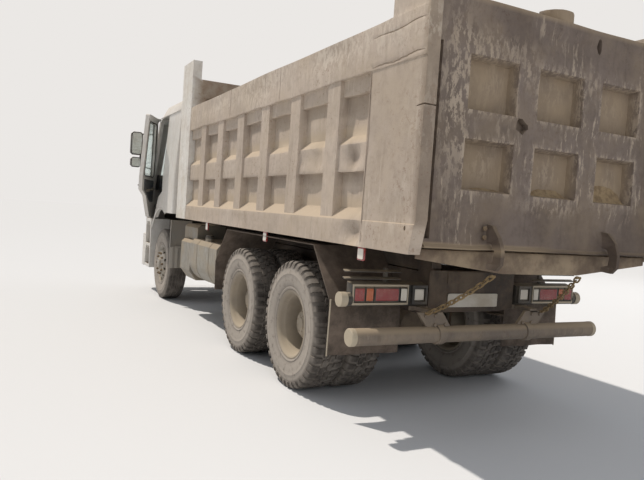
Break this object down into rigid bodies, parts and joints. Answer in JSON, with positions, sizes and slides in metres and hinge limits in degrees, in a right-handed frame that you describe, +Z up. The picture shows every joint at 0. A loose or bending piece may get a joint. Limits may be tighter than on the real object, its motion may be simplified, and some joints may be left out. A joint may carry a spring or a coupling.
{
  "type": "dump truck",
  "caption": "Cab-over tandem-axle tipper truck with a ribbed steel body, deep headboard, front telescopic hoist and a top-hung gridded tailgate.",
  "frame": {"origin": "on the ground, below the middle of the truck's length and width", "axes": "+X forward, +Y to the truck's left, +Z up"},
  "size_m": [8.5, 3.18, 3.54],
  "materials": {
    "chassis_paint": "matt, dusty",
    "cab_paint": "semi-gloss, dusty",
    "bed_paint": "matt, faded and dusty",
    "tailgate_paint": "matt, faded and scraped",
    "cast_steel": "rough",
    "rim_paint": "matt, rusty and dusty",
    "tyre": "matt, dusty",
    "tank": "dull",
    "plastic_dark": "grained",
    "plastic_grey": "grained, dusty",
    "trim_dark": "soft matt",
    "lamp": "ribbed clear",
    "headlamp": "clear",
    "glass": "clear",
    "rod_steel": "polished",
    "hoist_paint": "gloss, oily dust",
    "chain": "rusty"
  },
  "bodies": {
    "chassis": {"chassis_frame": "chassis_paint", "tipper_subframe": "chassis_paint", "hoist_footing": "chassis_paint", "front_axle_beam": "cast_steel", "drive_axles": "cast_steel", "leaf_springs": "cast_steel", "driveline": "cast_steel", "engine_block": "cast_steel", "front_bumper": "cab_paint", "headlamps": "headlamp", "fuel_tank": "tank", "side_boxes": "plastic_dark", "front_wheel_guards": "plastic_grey", "bogie_mudguards": "plastic_dark", "underrun_bar": "chassis_paint", "tail_lamps": "lamp", "tailgate_chains": "chain"},
    "cab": {"cab_shell": "cab_paint", "cab_floor": "trim_dark", "cab_interior": "trim_dark", "cab_grille": "plastic_dark", "mirrors": "plastic_dark", "windscreen": "glass"},
    "door_left": {"door_left": "cab_paint", "door_glass_left": "glass"},
    "door_right": {"door_right": "cab_paint", "door_glass_right": "glass"},
    "bed": {"bed_side_left": "bed_paint", "bed_side_right": "bed_paint", "bed_floor": "bed_paint", "bed_underframe": "chassis_paint", "headboard": "cab_paint"},
    "tailgate": {"tailgate": "tailgate_paint"},
    "hoist_cover": {"hoist_cover": "hoist_paint"},
    "hoist_rod_1": {"hoist_rod_1": "rod_steel"},
    "hoist_rod_2": {"hoist_rod_2": "rod_steel"},
    "hoist_rod_3": {"hoist_rod_3": "rod_steel"},
    "knuckle_left": {"knuckle_left": "cast_steel"},
    "wheel_front_left": {"tyre_front_left": "tyre", "rim_front_left": "rim_paint"},
    "wheel_mid_left": {"tyres_mid_left": "tyre", "rims_mid_left": "rim_paint"},
    "wheel_rear_left": {"tyres_rear_left": "tyre", "rims_rear_left": "rim_paint"},
    "knuckle_right": {"knuckle_right": "cast_steel"},
    "wheel_front_right": {"tyre_front_right": "tyre", "rim_front_right": "rim_paint"},
    "wheel_mid_right": {"tyres_mid_right": "tyre", "rims_mid_right": "rim_paint"},
    "wheel_rear_right": {"tyres_rear_right": "tyre", "rims_rear_right": "rim_paint"}
  },
  "joints": [
    {"name": "bed_tip", "type": "hinge", "parent": "chassis", "child": "bed", "pos_m": [-3.235, 0, 1.19], "axis": [0, -1, 0], "range_deg": [0, 45], "deforming": ["tailgate_chains"]},
    {"name": "tailgate_swing", "type": "hinge", "parent": "bed", "child": "tailgate", "pos_m": [-3.96, 0, 3.065], "axis": [0, 1, 0], "range_deg": [0, 60]},
    {"name": "cab_tilt", "type": "hinge", "parent": "chassis", "child": "cab", "pos_m": [4.15, 0, 1], "axis": [0, 1, 0], "range_deg": [0, 55]},
    {"name": "door_left_swing", "type": "hinge", "parent": "cab", "child": "door_left", "pos_m": [3.627, 1.225, 1.9], "axis": [0, 0, -1], "range_deg": [-26, 44]},
    {"name": "door_right_swing", "type": "hinge", "parent": "cab", "child": "door_right", "pos_m": [3.627, -1.225, 1.9], "axis": [0, 0, 1], "range_deg": [0, 70]},
    {"name": "hoist_swing", "type": "hinge", "parent": "bed", "child": "hoist_cover", "pos_m": [1.6, 0, 1.62], "axis": [0, 1, 0], "range_deg": [0, 21.6]},
    {"name": "hoist_slide_1", "type": "slide", "parent": "hoist_cover", "child": "hoist_rod_1", "axis": [0, 0, -1], "range_m": [0, 1.217]},
    {"name": "hoist_slide_2", "type": "slide", "parent": "hoist_rod_1", "child": "hoist_rod_2", "axis": [0, 0, -1], "range_m": [0, 1.217]},
    {"name": "hoist_slide_3", "type": "slide", "parent": "hoist_rod_2", "child": "hoist_rod_3", "axis": [0, 0, -1], "range_m": [0, 1.217]},
    {"name": "steer_left", "type": "hinge", "parent": "chassis", "child": "knuckle_left", "pos_m": [2.835, 0.85, 0.562], "axis": [0, 0, 1], "range_deg": [-33, 33]},
    {"name": "spin_front_left", "type": "hinge", "parent": "knuckle_left", "child": "wheel_front_left", "pos_m": [2.835, 1.024, 0.562], "axis": [0, 1, 0], "continuous": true},
    {"name": "spin_mid_left", "type": "hinge", "parent": "chassis", "child": "wheel_mid_left", "pos_m": [-0.965, 0.865, 0.562], "axis": [0, 1, 0], "continuous": true},
    {"name": "spin_rear_left", "type": "hinge", "parent": "chassis", "child": "wheel_rear_left", "pos_m": [-2.325, 0.865, 0.562], "axis": [0, 1, 0], "continuous": true},
    {"name": "steer_right", "type": "hinge", "parent": "chassis", "child": "knuckle_right", "pos_m": [2.835, -0.85, 0.562], "axis": [0, 0, 1], "range_deg": [-33, 33]},
    {"name": "spin_front_right", "type": "hinge", "parent": "knuckle_right", "child": "wheel_front_right", "pos_m": [2.835, -1.024, 0.562], "axis": [0, 1, 0], "continuous": true},
    {"name": "spin_mid_right", "type": "hinge", "parent": "chassis", "child": "wheel_mid_right", "pos_m": [-0.965, -0.865, 0.562], "axis": [0, 1, 0], "continuous": true},
    {"name": "spin_rear_right", "type": "hinge", "parent": "chassis", "child": "wheel_rear_right", "pos_m": [-2.325, -0.865, 0.562], "axis": [0, 1, 0], "continuous": true}
  ],
  "couplings": [
    {"joint": "steer_right", "follows": "steer_left", "ratio": 1},
    {"joint": "hoist_swing", "follows": "bed_tip", "ratio": 0.47856},
    {"joint": "hoist_slide_1", "follows": "bed_tip", "m_per_rad": 1.5492},
    {"joint": "hoist_slide_2", "follows": "bed_tip", "m_per_rad": 1.5492},
    {"joint": "hoist_slide_3", "follows": "bed_tip", "m_per_rad": 1.5492}
  ]
}
